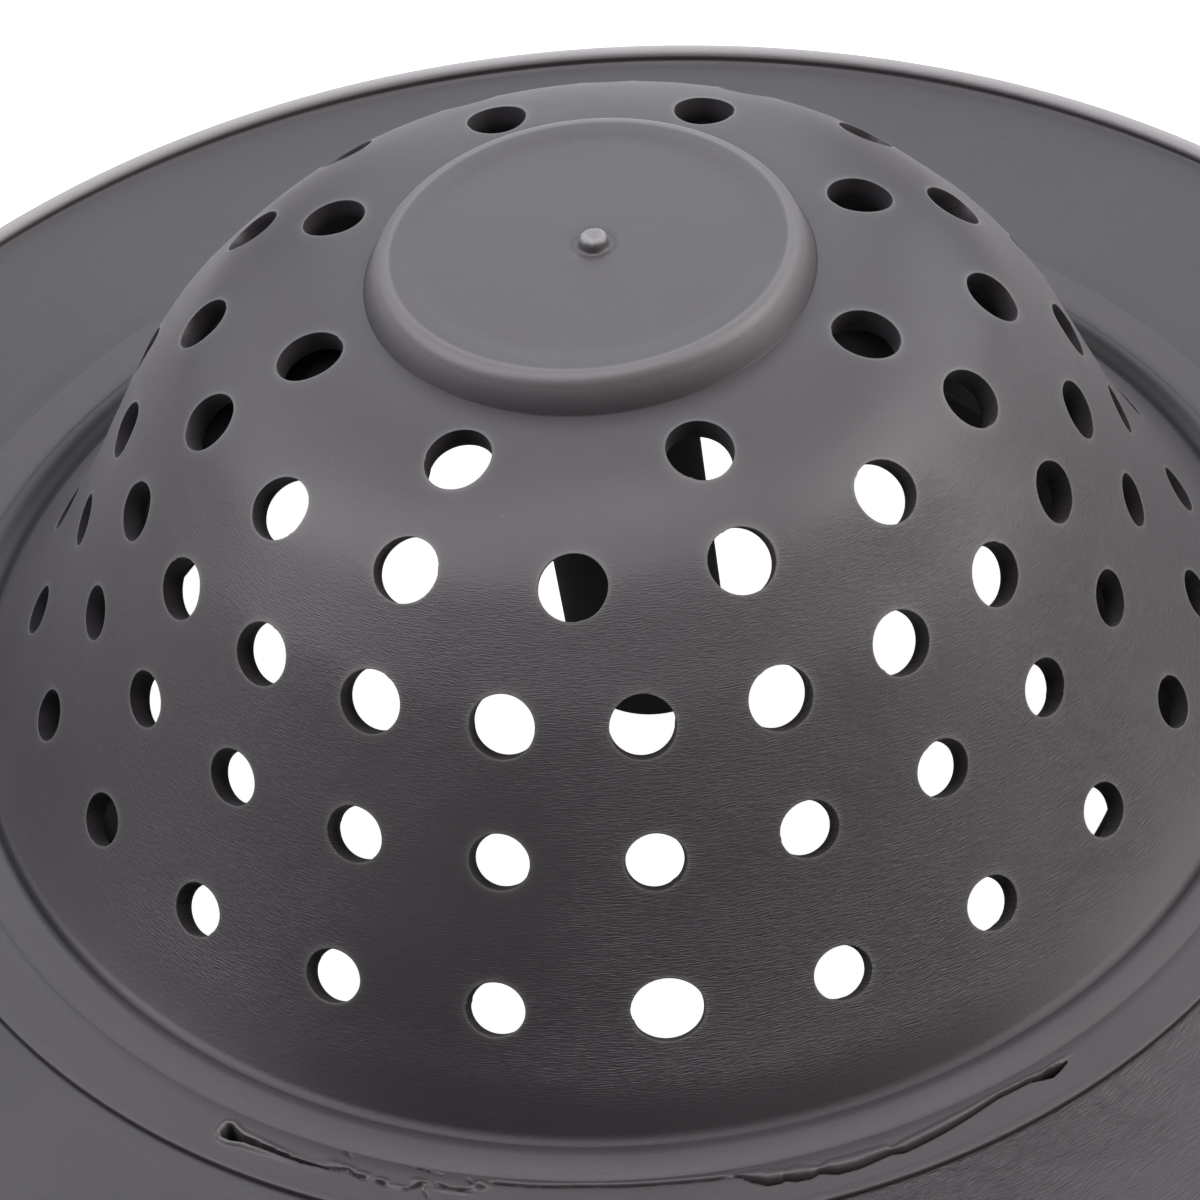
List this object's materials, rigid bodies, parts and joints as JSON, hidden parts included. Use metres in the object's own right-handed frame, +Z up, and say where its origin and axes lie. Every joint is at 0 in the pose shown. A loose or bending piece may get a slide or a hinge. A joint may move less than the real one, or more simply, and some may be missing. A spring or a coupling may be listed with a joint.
{
  "type": "sink stopper",
  "caption": "Perforated kitchen sink strainer bowl, dome up, with a raised base disc, a stiff mouth ring, a wide soft sealing skirt with a raised lip, and a grip post inside.",
  "frame": {"origin": "on the surface that the mouth ring's collar stands on, under the centre of the bowl", "axes": "+Z up out of the bowl's closed end along the bowl's axis, -Y towards the camera of the picture, +X to its right"},
  "size_m": [0.115, 0.115, 0.0336],
  "materials": {
    "strainer_bowl": "satin moulded dark grey, with fine ripples",
    "mouth_ring": "satin moulded dark grey",
    "sealing_skirt": "soft moulded dark grey, with fine leathery ripples",
    "base_disc": "satin moulded dark grey, with flow marks round the gate nub",
    "grip_post": "soft matt dark grey"
  },
  "bodies": {
    "root": {"strainer_bowl": "strainer_bowl", "mouth_ring": "mouth_ring", "sealing_skirt": "sealing_skirt", "base_disc": "base_disc", "grip_post": "grip_post"}
  },
  "joints": []
}
